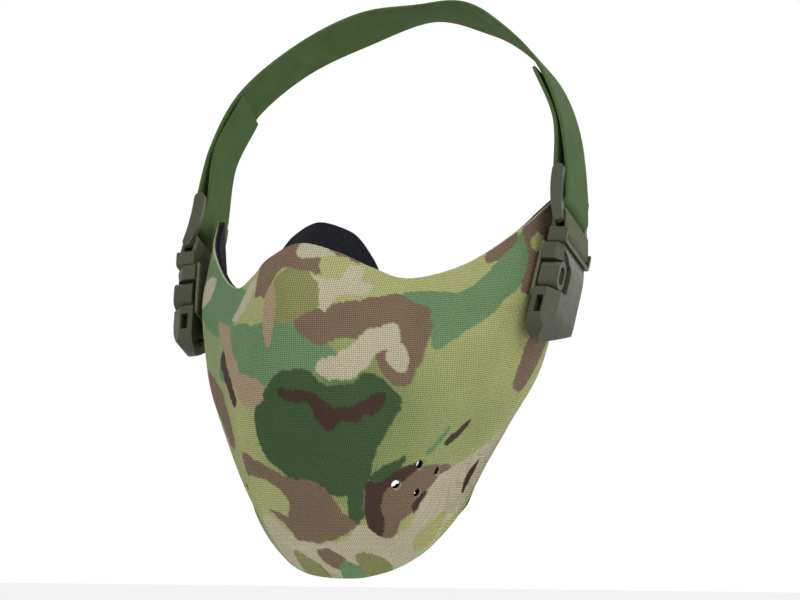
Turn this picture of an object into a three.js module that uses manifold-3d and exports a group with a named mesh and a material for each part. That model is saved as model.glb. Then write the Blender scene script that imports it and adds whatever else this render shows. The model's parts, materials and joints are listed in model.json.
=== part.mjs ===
// Camouflage half face mask: a moulded shell in three layers, a nose pad, two side-release
// buckles riveted to its rear corners, and an elastic strap that goes over the head.
// Millimetres. +X is the wearer's left, +Y is back and +Z is up. The origin is the middle of
// the shell's top edge, where it sits on the bridge of the nose.
import * as THREE from 'three';
import { mergeVertices } from 'three/addons/utils/BufferGeometryUtils.js';
import Module from 'manifold-3d';

const wasm = await Module();
wasm.setup();

// Driving dimensions of the shell
const HALF_WIDTH = 81;
const DEPTH = 92.5;
const HEIGHT = 131;
const COVER_THICKNESS = 0.7;
const CORE_THICKNESS = 1.3;
const LINING_THICKNESS = 0.8;
const GAP = 0.3;
const AIR_HOLE_RADIUS = 1.7;
const AIR_HOLE_SPREAD = 11;
const AIR_HOLE_RISE = 6.2;

// Driving dimensions of the nose pad
const PAD_HALF_WIDTH = 32;
const PAD_RISE = 15;
const PAD_LIFT = 15;
const PAD_THICKNESS = 3.5;
const PAD_GLUE = 1;

// Driving dimensions of a buckle
const BUCKLE_WIDTH = 28;
const SOCKET_LENGTH = 41;
const SOCKET_HEIGHT = 10.5;
const SOCKET_BEVEL = 4.5;
const CLIP_LENGTH = 7.6;
const CLIP_HEIGHT = 8.4;
const BUTTON_WIDTH = 7.2;
const BUTTON_LENGTH = 12.4;
const BUTTON_TRAVEL = 2;
const PRONG_THICKNESS = 3.2;
const GUIDE_WIDTH = 4.2;
const FIT = 0.4;
const RIVET_RADIUS = 1.4;
const RIVET_HEAD_RADIUS = 3.5;
const WASHER_THICKNESS = 0.6;
const WASHER_CLEARANCE = 0.9;
const LEAN = THREE.MathUtils.degToRad(20);

// Driving dimensions of the webbing and the strap
const STRAP_WIDTH = 25;
const STRAP_THICKNESS = 1.5;
const WEBBING_THICKNESS = 1.5;
const WEBBING_OVERHANG = 10;
const BAR_RADIUS = 1.6;
const ADJUSTER_LENGTH = 23;
const ADJUSTER_RAIL = 3.2;
const ADJUSTER_TILT = THREE.MathUtils.degToRad(12);

// Half sections of the shell's outer face, from the middle to the rear edge, drawn on the
// medium size. The first is the top edge and the last is the lower edge.
const MEDIUM = { halfWidth: 81, depth: 92.5, height: 131 };
const SECTIONS = [
  [[0, 0, 0], [15, 4.5, -4], [26, 12, -9.5], [38, 22, -13], [55, 42, -5], [71, 63.5, 11.5], [81, 86.5, 29]],
  [[0, -12, -26], [14, -7, -27], [28, 4, -29], [42, 19.5, -29], [61.5, 42, -22], [75.5, 63.5, -11], [81, 90, 4]],
  [[0, -10, -55], [16, -7, -55], [30, 3, -56], [46, 21, -55], [62, 46, -47], [73.5, 69, -34], [77.5, 92, -20]],
  [[0, 1, -84], [15, 3, -84], [29, 11, -84], [42, 29, -81], [53.5, 55, -72], [64, 77.5, -59], [70, 92.5, -45]],
  [[0, 15, -108.5], [13, 16, -108], [25.5, 23, -106], [36.5, 36.5, -101], [45.5, 57.5, -90], [54, 72, -78],
    [60, 82, -67]],
  [[0, 44, -131], [12, 45, -130], [23, 48, -126.5], [33, 53, -120],
    [43, 56.5, -109], [49.5, 61, -97], [53, 70.5, -85]],
];

// Places on the shell, as shares of the way across from the middle and down from the top edge
const BUCKLE_PLACE = { across: 0.885, down: 0.27 };
const AIR_HOLES_PLACE = { across: 0.484, down: 0.695 };

const INNER_LEVEL = -(COVER_THICKNESS + CORE_THICKNESS + LINING_THICKNESS + 2 * GAP);

const vec = (x = 0, y = 0, z = 0) => new THREE.Vector3(x, y, z);
const smooth = (points) => new THREE.CatmullRomCurve3(points, false, 'catmullrom', 0.5);

// ---- solids ----

function toSolid(geometry) {
  const bare = geometry.clone();
  for (const name of Object.keys(bare.attributes)) {
    if (name !== 'position') bare.deleteAttribute(name);
  }
  const merged = mergeVertices(bare, 1e-4);
  return new wasm.Manifold(new wasm.Mesh({
    numProp: 3,
    vertProperties: new Float32Array(merged.attributes.position.array),
    triVerts: new Uint32Array(merged.index.array),
  }));
}

function toGeometry(solid) {
  const mesh = solid.getMesh();
  const geometry = new THREE.BufferGeometry();
  geometry.setAttribute('position', new THREE.BufferAttribute(new Float32Array(mesh.vertProperties), 3));
  geometry.setIndex(new THREE.BufferAttribute(new Uint32Array(mesh.triVerts), 1));
  geometry.computeVertexNormals();
  return geometry;
}

function joined(geometries) {
  return toGeometry(geometries.map(toSolid).reduce((a, b) => a.add(b)));
}

function cut(geometry, tools) {
  return toGeometry(tools.map(toSolid).reduce((a, b) => a.subtract(b), toSolid(geometry)));
}

function common(a, b) {
  return toGeometry(toSolid(a).intersect(toSolid(b)));
}

// Reflected in its local X, with its faces still pointing out
function mirrored(geometry) {
  const copy = mergeVertices(geometry.clone().deleteAttribute('normal').deleteAttribute('uv'));
  copy.scale(-1, 1, 1);
  const index = copy.index.array;
  for (let i = 0; i < index.length; i += 3) {
    [index[i], index[i + 1]] = [index[i + 1], index[i]];
  }
  copy.computeVertexNormals();
  return copy;
}

function boxBetween(low, high) {
  const size = high.map((value, i) => value - low[i]);
  const centre = high.map((value, i) => (value + low[i]) / 2);
  return new THREE.BoxGeometry(...size).translate(...centre);
}

// A bar along X
function bar(radius, length, y, z) {
  return new THREE.CylinderGeometry(radius, radius, length, 12).rotateZ(Math.PI / 2).translate(0, y, z);
}

// A pin along Z from one height to another
function pin(radius, x, y, low, high, segments = 12) {
  const geometry = new THREE.CylinderGeometry(radius, radius, high - low, segments);
  return geometry.rotateX(Math.PI / 2).translate(x, y, (low + high) / 2);
}

// A closed outline extruded along Z from one height to another
function prism(shape, low, high, curveSegments = 6) {
  const geometry = new THREE.ExtrudeGeometry(shape, { depth: high - low, bevelEnabled: false, curveSegments });
  return geometry.translate(0, 0, low);
}

function roundedRectangle(x0, y0, x1, y1, radius) {
  const shape = new THREE.Shape();
  shape.moveTo(x0 + radius, y0);
  shape.lineTo(x1 - radius, y0);
  shape.absarc(x1 - radius, y0 + radius, radius, -Math.PI / 2, 0, false);
  shape.lineTo(x1, y1 - radius);
  shape.absarc(x1 - radius, y1 - radius, radius, 0, Math.PI / 2, false);
  shape.lineTo(x0 + radius, y1);
  shape.absarc(x0 + radius, y1 - radius, radius, Math.PI / 2, Math.PI, false);
  shape.lineTo(x0, y0 + radius);
  shape.absarc(x0 + radius, y0 + radius, radius, Math.PI, 1.5 * Math.PI, false);
  return shape;
}

// Vertex normals of an open grid, each averaged with its neighbours'
function gridNormals(grid) {
  const rows = grid.length;
  const cols = grid[0].length;
  const index = [];
  for (let i = 0; i < rows - 1; i += 1) {
    for (let j = 0; j < cols - 1; j += 1) {
      const k = i * cols + j;
      index.push(k, k + cols, k + cols + 1, k, k + cols + 1, k + 1);
    }
  }
  const sheet = new THREE.BufferGeometry().setFromPoints(grid.flat());
  sheet.setIndex(index);
  sheet.computeVertexNormals();
  const raw = grid.flat().map((_, k) => vec().fromBufferAttribute(sheet.attributes.normal, k));
  return raw.map((normal, k) => {
    const mean = normal.clone();
    if (k >= cols) mean.add(raw[k - cols]);
    if (k < raw.length - cols) mean.add(raw[k + cols]);
    return mean.normalize();
  });
}

// A closed layer between two levels above a grid of points, along the grid's own normals
function layer(grid, outer, inner) {
  const rows = grid.length;
  const cols = grid[0].length;
  const at = (side, i, j) => (side * rows + i) * cols + j;
  const normals = gridNormals(grid);
  const positions = [];
  for (const level of [outer, inner]) {
    for (let i = 0; i < rows; i += 1) {
      for (let j = 0; j < cols; j += 1) {
        const p = grid[i][j].clone().addScaledVector(normals[at(0, i, j)], level);
        positions.push(p.x, p.y, p.z);
      }
    }
  }
  const index = [];
  const quad = (a, b, c, d) => index.push(a, b, c, a, c, d);
  for (let i = 0; i < rows - 1; i += 1) {
    for (let j = 0; j < cols - 1; j += 1) {
      quad(at(0, i, j), at(0, i + 1, j), at(0, i + 1, j + 1), at(0, i, j + 1));
      quad(at(1, i, j), at(1, i, j + 1), at(1, i + 1, j + 1), at(1, i + 1, j));
    }
    quad(at(0, i + 1, 0), at(0, i, 0), at(1, i, 0), at(1, i + 1, 0));
    quad(at(0, i, cols - 1), at(0, i + 1, cols - 1), at(1, i + 1, cols - 1), at(1, i, cols - 1));
  }
  for (let j = 0; j < cols - 1; j += 1) {
    quad(at(0, 0, j), at(0, 0, j + 1), at(1, 0, j + 1), at(1, 0, j));
    quad(at(0, rows - 1, j + 1), at(0, rows - 1, j), at(1, rows - 1, j), at(1, rows - 1, j + 1));
  }
  const geometry = new THREE.BufferGeometry();
  geometry.setAttribute('position', new THREE.Float32BufferAttribute(positions, 3));
  geometry.setIndex(index);
  geometry.computeVertexNormals();
  return geometry;
}

// ---- the shell's surface ----

const sectionCurves = SECTIONS.map((half) => {
  const graded = half.map(([x, y, z]) => vec(
    (x * HALF_WIDTH) / MEDIUM.halfWidth,
    (y * DEPTH) / MEDIUM.depth,
    (z * HEIGHT) / MEDIUM.height,
  ));
  const otherSide = graded.slice(1).reverse().map((p) => vec(-p.x, p.y, p.z));
  return smooth([...otherSide, ...graded]);
});

function surfacePoint(across, down) {
  return smooth(sectionCurves.map((curve) => curve.getPoint((across + 1) / 2))).getPoint(down);
}

// Outward normal and rearward tangent of the shell on its left half
function surfaceFrame(across, down) {
  const step = 0.01;
  const rear = surfacePoint(across + step, down).sub(surfacePoint(across - step, down)).normalize();
  const drop = surfacePoint(across, down + step).sub(surfacePoint(across, down - step));
  const normal = drop.cross(rear).normalize();
  return { point: surfacePoint(across, down), normal, rear };
}

function surfaceGrid(columns, rows) {
  const grid = [];
  for (let i = 0; i <= rows; i += 1) {
    const row = [];
    for (let j = 0; j <= columns; j += 1) {
      row.push(surfacePoint((2 * j) / columns - 1, i / rows));
    }
    grid.push(row);
  }
  return grid;
}

const shellGrid = surfaceGrid(26, 10);

// ---- a buckle's own frame: X to the rear, Y up its length, Z out of its face ----

const seat = surfaceFrame(BUCKLE_PLACE.across, BUCKLE_PLACE.down);
const seatUp = vec(0, 0, 1).projectOnPlane(seat.normal).normalize();
const seatRear = seatUp.clone().cross(seat.normal);
const buckleX = seatRear.multiplyScalar(Math.cos(LEAN)).addScaledVector(seatUp, -Math.sin(LEAN));
const buckleY = seat.normal.clone().cross(buckleX).normalize();
const buckleZ = seat.normal;

const SOCKET_TOP = SOCKET_LENGTH / 2 - 3;
const SOCKET_BOTTOM = SOCKET_TOP - SOCKET_LENGTH;
const CLIP_TOP = SOCKET_TOP + GAP + CLIP_LENGTH;
const WEBBING_LEVEL = -(2 * GAP + WEBBING_THICKNESS);

// Lowest and highest place of the shell under a rectangle of the buckle's base
function shellUnder(origin, level, x0, y0, x1, y1) {
  const found = { low: Infinity, high: -Infinity };
  for (let i = 0; i <= 40; i += 1) {
    for (let j = 0; j <= 40; j += 1) {
      const frame = surfaceFrame(0.6 + (j / 40) * 0.39, 0.01 + (i / 40) * 0.8);
      const offset = frame.point.addScaledVector(frame.normal, level).sub(origin);
      const x = offset.dot(buckleX);
      const y = offset.dot(buckleY);
      const inside = x >= x0 && x <= x1 && y >= y0 && y <= y1;
      if (inside) {
        found.low = Math.min(found.low, offset.dot(buckleZ));
        found.high = Math.max(found.high, offset.dot(buckleZ));
      }
    }
  }
  return found;
}

const footprint = [-BUCKLE_WIDTH / 2, SOCKET_BOTTOM, BUCKLE_WIDTH / 2, CLIP_TOP];
const shellHigh = shellUnder(seat.point, 0, ...footprint).high;
const buckleOrigin = seat.point.clone().addScaledVector(buckleZ, shellHigh - WEBBING_LEVEL);
const buckleMatrix = new THREE.Matrix4().makeBasis(buckleX, buckleY, buckleZ).setPosition(buckleOrigin);

const RIVETS = [
  { name: 'upper', x: -3, y: SOCKET_TOP - 6, depth: 2.6 },
  { name: 'lower', x: -3, y: SOCKET_BOTTOM + 7, depth: 4 },
];

// ---- shell layers ----

function airHoleTools() {
  const tools = [];
  const spots = [[0, 1], [1, 0], [0, -1], [-1, 0]];
  for (const side of [-1, 1]) {
    const { point, normal, rear } = surfaceFrame(AIR_HOLES_PLACE.across, AIR_HOLES_PLACE.down);
    const up = normal.clone().cross(rear).normalize();
    for (const [a, b] of spots) {
      const centre = point.clone().addScaledVector(rear, a * AIR_HOLE_SPREAD);
      centre.addScaledVector(up, b * AIR_HOLE_RISE);
      const tool = new THREE.CylinderGeometry(AIR_HOLE_RADIUS, AIR_HOLE_RADIUS, 16, 8).rotateX(Math.PI / 2);
      tool.applyMatrix4(new THREE.Matrix4().makeBasis(rear, up, normal).setPosition(centre));
      tools.push(side > 0 ? tool : mirrored(tool));
    }
  }
  return tools;
}

function rivetHoleTools() {
  const tools = [];
  for (const rivet of RIVETS) {
    const tool = pin(RIVET_RADIUS + GAP, rivet.x, rivet.y, -20, 8, 8).applyMatrix4(buckleMatrix);
    tools.push(tool, mirrored(tool));
  }
  return tools;
}

const shellTools = [...airHoleTools(), ...rivetHoleTools()];

function shellLayer(outer, thickness) {
  return cut(layer(shellGrid, outer, outer - thickness), shellTools);
}

// The pad hugs the lining at its lower edge and arches away over the nose at its upper edge
function nosePad() {
  const rows = 5;
  const columns = 12;
  const grid = [];
  const reach = PAD_HALF_WIDTH / HALF_WIDTH;
  for (let i = 0; i <= rows; i += 1) {
    const rise = 1 - i / rows;
    const row = [];
    for (let j = 0; j <= columns; j += 1) {
      const s = (2 * j) / columns - 1;
      const across = 0.9 * s * reach * (1 + 0.12 * s * s);
      const down = 0.012 + (0.15 * i) / rows;
      const half = surfaceFrame(Math.abs(across), down);
      const normal = across < 0 ? vec(-half.normal.x, half.normal.y, half.normal.z) : half.normal;
      const point = surfacePoint(across, down).addScaledVector(normal, INNER_LEVEL - PAD_GLUE);
      const crown = 1 - s ** 4;
      point.y += PAD_LIFT * rise ** 1.4 * crown;
      point.z += PAD_RISE * rise ** 1.6 * crown;
      row.push(point);
    }
    grid.push(row);
  }
  return layer(grid, 0, -PAD_THICKNESS);
}

// ---- buckle parts ----

const HALF = BUCKLE_WIDTH / 2;
const BUTTON_X = HALF - BUTTON_WIDTH / 2 - 0.2;
const BUTTON_Y = SOCKET_TOP - 14;
const PRONG_X = BUTTON_X - 1.4;
const HINGE_Y = SOCKET_TOP - PRONG_THICKNESS / 2;
const PRONG_LOW = 2.9;
const PRONG_HIGH = 7.7;
const GUIDE_LOW = 4;
const GUIDE_HIGH = 6.6;
const BUTTON_LOW = 1;
const FRONT_BUTTON_HIGH = SOCKET_HEIGHT - 1;
const BEVEL_LOW = SOCKET_HEIGHT - SOCKET_BEVEL;
const REAR_BUTTON_HIGH = BEVEL_LOW - 2 * FIT;

// Side view of the socket: flat base, flat face, and ends that fall away
function socketProfile() {
  const shape = new THREE.Shape();
  shape.moveTo(SOCKET_BOTTOM + 1, 0);
  shape.lineTo(SOCKET_TOP, 0);
  shape.lineTo(SOCKET_TOP, SOCKET_HEIGHT - 2.2);
  shape.quadraticCurveTo(SOCKET_TOP - 6, SOCKET_HEIGHT, SOCKET_TOP - 11, SOCKET_HEIGHT);
  shape.lineTo(SOCKET_BOTTOM + 13, SOCKET_HEIGHT);
  shape.quadraticCurveTo(SOCKET_BOTTOM + 4, SOCKET_HEIGHT - 0.6, SOCKET_BOTTOM, SOCKET_HEIGHT - 6.5);
  shape.lineTo(SOCKET_BOTTOM, 1);
  shape.closePath();
  return shape;
}

// The profile is drawn in Y and Z, so its extrusion runs along X
function alongX(shape, x0, x1) {
  const turn = new THREE.Matrix4().makeBasis(vec(0, 1, 0), vec(0, 0, 1), vec(1, 0, 0));
  return prism(shape, x0, x1, 5).applyMatrix4(turn);
}

function socketOutline() {
  const corner = 8;
  const shape = new THREE.Shape();
  shape.moveTo(-HALF + corner, SOCKET_BOTTOM);
  shape.lineTo(HALF - 18, SOCKET_BOTTOM);
  shape.lineTo(HALF, SOCKET_BOTTOM + 12);
  shape.lineTo(HALF, SOCKET_TOP);
  shape.lineTo(-HALF, SOCKET_TOP);
  shape.lineTo(-HALF, SOCKET_BOTTOM + corner);
  shape.absarc(-HALF + corner, SOCKET_BOTTOM + corner, corner, Math.PI, 1.5 * Math.PI, false);
  return shape;
}

// The socket's cross-section, with both outer edges bevelled
function socketSection() {
  const shape = new THREE.Shape();
  shape.moveTo(-HALF, 0);
  shape.lineTo(HALF, 0);
  shape.lineTo(HALF, BEVEL_LOW);
  shape.lineTo(HALF - SOCKET_BEVEL, SOCKET_HEIGHT);
  shape.lineTo(SOCKET_BEVEL - HALF, SOCKET_HEIGHT);
  shape.lineTo(-HALF, BEVEL_LOW);
  shape.closePath();
  return shape;
}

// The window on one side that the prong's button shows in, with room to be pressed inwards.
// The front one is open to the face, and the rear one is only open to the side and the back.
function windowTool(side) {
  const deep = BUTTON_X - BUTTON_WIDTH / 2 - BUTTON_TRAVEL - FIT;
  const low = BUTTON_Y - BUTTON_LENGTH / 2 - FIT;
  const high = BUTTON_Y + BUTTON_LENGTH / 2 + FIT;
  const outline = roundedRectangle(deep, low, HALF + 8, high, BUTTON_WIDTH * 0.35);
  if (side > 0) {
    return prism(outline, -1, REAR_BUTTON_HIGH + FIT, 4);
  }
  return mirrored(prism(outline, -1, SOCKET_HEIGHT + 1, 4));
}

// A round scoop in the face above the front button
function scoopTool() {
  const radius = BUTTON_LENGTH * 0.76;
  return pin(radius, -HALF - 1.5, BUTTON_Y + 3, PRONG_HIGH + 3 * GAP, SOCKET_HEIGHT + 1, 32);
}

function channelTool(side) {
  const inner = PRONG_X - PRONG_THICKNESS / 2 - BUTTON_TRAVEL;
  const outer = PRONG_X + PRONG_THICKNESS / 2 + 0.7;
  const low = BUTTON_Y - BUTTON_TRAVEL;
  const tool = boxBetween([inner, low, PRONG_LOW - GAP], [outer, SOCKET_TOP + 1, PRONG_HIGH + GAP]);
  return side > 0 ? tool : mirrored(tool);
}

function socket() {
  const section = prism(socketSection(), -SOCKET_LENGTH, SOCKET_LENGTH).rotateX(Math.PI / 2);
  const side = common(alongX(socketProfile(), -HALF, HALF), prism(socketOutline(), -1, SOCKET_HEIGHT + 1));
  const blank = common(side, section);
  const guideWay = boxBetween(
    [-GUIDE_WIDTH / 2 - FIT, BUTTON_Y - BUTTON_LENGTH / 2, GUIDE_LOW - GAP],
    [GUIDE_WIDTH / 2 + FIT, SOCKET_TOP + 1, GUIDE_HIGH + GAP],
  );
  const frontSlot = boxBetween([-HALF - 1, SOCKET_BOTTOM + 9, 2.2], [-HALF + 5, SOCKET_BOTTOM + 16.5, 5.2]);
  const rivetHoles = RIVETS.map(({ x, y, depth }) => pin(RIVET_RADIUS + GAP, x, y, -1, depth + GAP));
  const ways = [windowTool(1), windowTool(-1), channelTool(1), channelTool(-1), guideWay];
  return cut(blank, [...ways, scoopTool(), frontSlot, ...rivetHoles]);
}

const CLIP_LOW = 1;
const WEBBING_ROOM = BAR_RADIUS + GAP + WEBBING_THICKNESS + FIT;
const CLIP_BAR_Y = CLIP_TOP - BAR_RADIUS - 0.4;
const CLIP_BAR_Z = CLIP_LOW + CLIP_HEIGHT / 2;

// The clip's base, the bar that the webbing goes round, and the guide that centres it
function clip() {
  const outline = roundedRectangle(-HALF, SOCKET_TOP + GAP, HALF, CLIP_TOP, 1.6);
  const body = prism(outline, CLIP_LOW, CLIP_LOW + CLIP_HEIGHT);
  const reach = STRAP_WIDTH / 2 + FIT;
  const mouth = boxBetween([-reach, CLIP_BAR_Y - WEBBING_ROOM, 0], [reach, CLIP_TOP + 1, SOCKET_HEIGHT + 2]);
  const guide = boxBetween(
    [-GUIDE_WIDTH / 2, BUTTON_Y - 3, GUIDE_LOW],
    [GUIDE_WIDTH / 2, SOCKET_TOP + 2, GUIDE_HIGH],
  );
  return joined([cut(body, [mouth]), bar(BAR_RADIUS, 2 * reach + 1, CLIP_BAR_Y, CLIP_BAR_Z), guide]);
}

// A springy prong that turns about its root, with a dished button at its end
function prong(side) {
  const arm = new THREE.Shape();
  const halfArm = PRONG_THICKNESS / 2;
  arm.moveTo(PRONG_X + halfArm, HINGE_Y);
  arm.absarc(PRONG_X, HINGE_Y, halfArm - 0.01, 0, Math.PI, false);
  arm.lineTo(PRONG_X - halfArm, BUTTON_Y);
  arm.lineTo(PRONG_X + halfArm, BUTTON_Y);
  arm.closePath();
  const halfWidth = BUTTON_WIDTH / 2;
  const buttonHigh = side > 0 ? REAR_BUTTON_HIGH : FRONT_BUTTON_HIGH;
  const button = prism(
    roundedRectangle(BUTTON_X - halfWidth, BUTTON_Y - BUTTON_LENGTH / 2,
      BUTTON_X + halfWidth, BUTTON_Y + BUTTON_LENGTH / 2, halfWidth - 0.05),
    BUTTON_LOW,
    buttonHigh,
    4,
  );
  const dish = prism(
    roundedRectangle(BUTTON_X - halfWidth + 1.5, BUTTON_Y - BUTTON_LENGTH / 2 + 2.2,
      BUTTON_X + halfWidth - 1.5, BUTTON_Y + BUTTON_LENGTH / 2 - 2.2, halfWidth - 1.55),
    buttonHigh - 1.4,
    buttonHigh + 1,
    4,
  );
  const whole = cut(joined([prism(arm, PRONG_LOW, PRONG_HIGH, 4), button]), [dish]);
  return side > 0 ? whole : mirrored(whole);
}

function rivetParts({ x, y, depth }) {
  const reach = RIVET_HEAD_RADIUS + 0.6;
  const { low } = shellUnder(buckleOrigin, INNER_LEVEL, x - reach, y - reach, x + reach, y + reach);
  const washerTop = low - WASHER_CLEARANCE;
  const headTop = washerTop - WASHER_THICKNESS - GAP;
  const washer = cut(
    pin(RIVET_HEAD_RADIUS + 0.5, x, y, washerTop - WASHER_THICKNESS, washerTop, 16),
    [pin(RIVET_RADIUS + GAP, x, y, washerTop - 3, washerTop + 3)],
  );
  const rivet = joined([
    pin(RIVET_HEAD_RADIUS, x, y, headTop - 1, headTop, 16),
    pin(RIVET_RADIUS, x, y, headTop - 0.5, depth),
  ]);
  return { rivet, washer };
}

// The webbing between the buckle and the shell, which stands out past the buckle's rear side
function anchorWebbing() {
  const top = SOCKET_TOP + 1;
  const body = boxBetween(
    [-HALF + 1, top - STRAP_WIDTH, -GAP - WEBBING_THICKNESS],
    [HALF + WEBBING_OVERHANG, top, -GAP],
  );
  return cut(body, [pin(RIVET_RADIUS + GAP, RIVETS[0].x, RIVETS[0].y, -6, 6)]);
}

// ---- the adjuster's frame: its Y runs up the strap from the clip's bar, tilted to the head ----

const adjusterMatrix = new THREE.Matrix4()
  .makeTranslation(0, CLIP_BAR_Y, CLIP_BAR_Z)
  .multiply(new THREE.Matrix4().makeRotationX(-ADJUSTER_TILT));
const LOWER_BAR_Y = 2 * (BAR_RADIUS + WEBBING_THICKNESS) + 2;
const MIDDLE_BAR_Y = LOWER_BAR_Y + ADJUSTER_LENGTH * 0.36;
const UPPER_BAR_Y = LOWER_BAR_Y + ADJUSTER_LENGTH - 2 * BAR_RADIUS - 1;
const RAIL_X = STRAP_WIDTH / 2 + FIT + ADJUSTER_RAIL / 2;

// Two curved rails joined by three bars
function adjuster() {
  const wave = 1.6;
  const half = 2.6;
  const middle = (LOWER_BAR_Y + UPPER_BAR_Y) / 2;
  const low = LOWER_BAR_Y - half;
  const high = UPPER_BAR_Y + half;
  const rail = new THREE.Shape();
  rail.moveTo(low, -half * 0.8);
  rail.quadraticCurveTo(middle, -half - wave, high - 1, -half);
  rail.absarc(high - 1, 0, half, -Math.PI / 2, Math.PI / 2, false);
  rail.quadraticCurveTo(middle, half - wave, low, half * 0.8);
  rail.absarc(low, 0, half * 0.8, Math.PI / 2, 1.5 * Math.PI, false);
  const halfRail = ADJUSTER_RAIL / 2;
  const rails = [-1, 1].map((side) => alongX(rail, side * RAIL_X - halfRail, side * RAIL_X + halfRail));
  const bars = [LOWER_BAR_Y, MIDDLE_BAR_Y, UPPER_BAR_Y].map((y) => bar(BAR_RADIUS, 2 * RAIL_X, y, 0));
  return joined([...rails, ...bars]);
}

// A short loop of webbing round the clip's bar and the adjuster's lower bar
function webbingLoop() {
  const inner = BAR_RADIUS + GAP;
  const outer = inner + WEBBING_THICKNESS;
  const stadium = (path, radius) => {
    path.absarc(LOWER_BAR_Y, 0, radius, -Math.PI / 2, Math.PI / 2, false);
    path.absarc(0, 0, radius, Math.PI / 2, 1.5 * Math.PI, false);
    return path;
  };
  const ring = stadium(new THREE.Shape(), outer);
  ring.holes.push(stadium(new THREE.Path(), inner + 0.15));
  return alongX(ring, -STRAP_WIDTH / 2, STRAP_WIDTH / 2);
}

// ---- the head strap ----

const strapMatrix = buckleMatrix.clone().multiply(adjusterMatrix);
const TURN_RADIUS = BAR_RADIUS + GAP + STRAP_THICKNESS / 2;

// Points on the wearer's left over the head, above the adjuster, for the medium size.
// The tail lies against the inside of the strap as far up as the second of them.
const OVER_HEAD = [[84, 95, 62], [74, 101, 86], [53, 115, 110], [30, 132, 127], [0, 143, 136]];
const HEAD_CENTRE = vec(0, 95, 20);

function overHead() {
  const points = OVER_HEAD.map(([x, y, z]) => vec((x * HALF_WIDTH) / MEDIUM.halfWidth, y, z));
  const top = points[points.length - 1];
  return points.map((point, k) => {
    const after = points[k + 1] ?? top;
    const before = points[k - 1] ?? points[0];
    const along = after.clone().sub(before);
    const out = point.clone().sub(HEAD_CENTRE);
    const side = along.cross(out).normalize();
    return { point, side: k < points.length - 1 ? side : vec(0, 1, 0) };
  });
}

// The strap's middle line and its width direction, from the left tail's end to the top
function strapHalf() {
  const side = vec(1, 0, 0).transformDirection(strapMatrix);
  const local = (y, z) => ({ point: vec(0, y, z).applyMatrix4(strapMatrix), side: side.clone() });
  const over = overHead();
  const tail = over.slice(0, 2).reverse().map((entry) => {
    const out = entry.point.clone().sub(HEAD_CENTRE).projectOnPlane(entry.side).normalize();
    return { point: entry.point.clone().addScaledVector(out, -STRAP_THICKNESS - 3 * GAP), side: entry.side };
  });
  const beside = [UPPER_BAR_Y + 3, UPPER_BAR_Y - 3];
  const turn = [];
  for (let k = 0; k <= 6; k += 1) {
    const angle = (k / 6) * Math.PI;
    turn.push(local(MIDDLE_BAR_Y - TURN_RADIUS * Math.sin(angle), -TURN_RADIUS * Math.cos(angle)));
  }
  return [
    ...tail,
    ...beside.map((y) => local(y, -TURN_RADIUS)),
    ...turn,
    ...beside.reverse().map((y) => local(y, TURN_RADIUS)),
    ...over,
  ];
}

function headStrap() {
  const left = strapHalf();
  const right = left.slice(0, -1).reverse().map(({ point, side }) => ({
    point: vec(-point.x, point.y, point.z),
    side: vec(-side.x, side.y, side.z),
  }));
  const whole = [...left, ...right];
  const line = new THREE.CatmullRomCurve3(whole.map((entry) => entry.point), false, 'centripetal');
  const sides = smooth(whole.map((entry) => entry.side));
  const steps = 3 * (whole.length - 1);
  const grid = [];
  for (let i = 0; i <= steps; i += 1) {
    const point = line.getPoint(i / steps);
    const side = sides.getPoint(i / steps).normalize();
    grid.push([-0.5, 0.5].map((share) => point.clone().addScaledVector(side, share * STRAP_WIDTH)));
  }
  return layer(grid, STRAP_THICKNESS / 2, -STRAP_THICKNESS / 2);
}

// ---- assembly ----

const camo = new THREE.MeshStandardMaterial({ color: 0x7e8a5c, roughness: 0.9 });
const black = new THREE.MeshStandardMaterial({ color: 0x15171c, roughness: 0.95 });
const coreFoam = new THREE.MeshStandardMaterial({ color: 0x24262a, roughness: 0.85 });
const olivePlastic = new THREE.MeshStandardMaterial({ color: 0x6b6d52, roughness: 0.55 });
const oliveWebbing = new THREE.MeshStandardMaterial({ color: 0x5b5f45, roughness: 0.95 });
const greenElastic = new THREE.MeshStandardMaterial({ color: 0x4f6b3c, roughness: 0.9 });
const darkMetal = new THREE.MeshStandardMaterial({ color: 0x3a3c36, roughness: 0.4, metalness: 0.8 });

function piece(name, geometry, material) {
  const mesh = new THREE.Mesh(geometry, material);
  mesh.name = name;
  return mesh;
}

function buckle(sideName, flip) {
  const group = new THREE.Group();
  const place = (geometry) => (flip ? mirrored(geometry) : geometry);
  const add = (name, geometry, material, parent = group) => {
    parent.add(piece(`${sideName}_${name}`, place(geometry), material));
  };
  add('buckle_socket', socket(), olivePlastic);
  add('buckle_clip', clip(), olivePlastic);
  add('front_release_prong', prong(-1), olivePlastic);
  add('rear_release_prong', prong(1), olivePlastic);
  for (const spot of RIVETS) {
    const { rivet, washer } = rivetParts(spot);
    add(`${spot.name}_rivet`, rivet, darkMetal);
    add(`${spot.name}_washer`, washer, darkMetal);
  }
  add('anchor_webbing', anchorWebbing(), oliveWebbing);
  const tilted = new THREE.Group();
  tilted.applyMatrix4(adjusterMatrix);
  add('strap_adjuster', adjuster(), olivePlastic, tilted);
  add('webbing_loop', webbingLoop(), oliveWebbing, tilted);
  group.add(tilted);
  return group;
}

const mask = new THREE.Group();
const coreLevel = -(COVER_THICKNESS + GAP);
const liningLevel = coreLevel - CORE_THICKNESS - GAP;
mask.add(piece('camo_cover', shellLayer(0, COVER_THICKNESS), camo));
mask.add(piece('shell_core', shellLayer(coreLevel, CORE_THICKNESS), coreFoam));
mask.add(piece('inner_lining', shellLayer(liningLevel, LINING_THICKNESS), black));
mask.add(piece('nose_pad', nosePad(), black));
mask.add(piece('head_strap', headStrap(), greenElastic));

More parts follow.
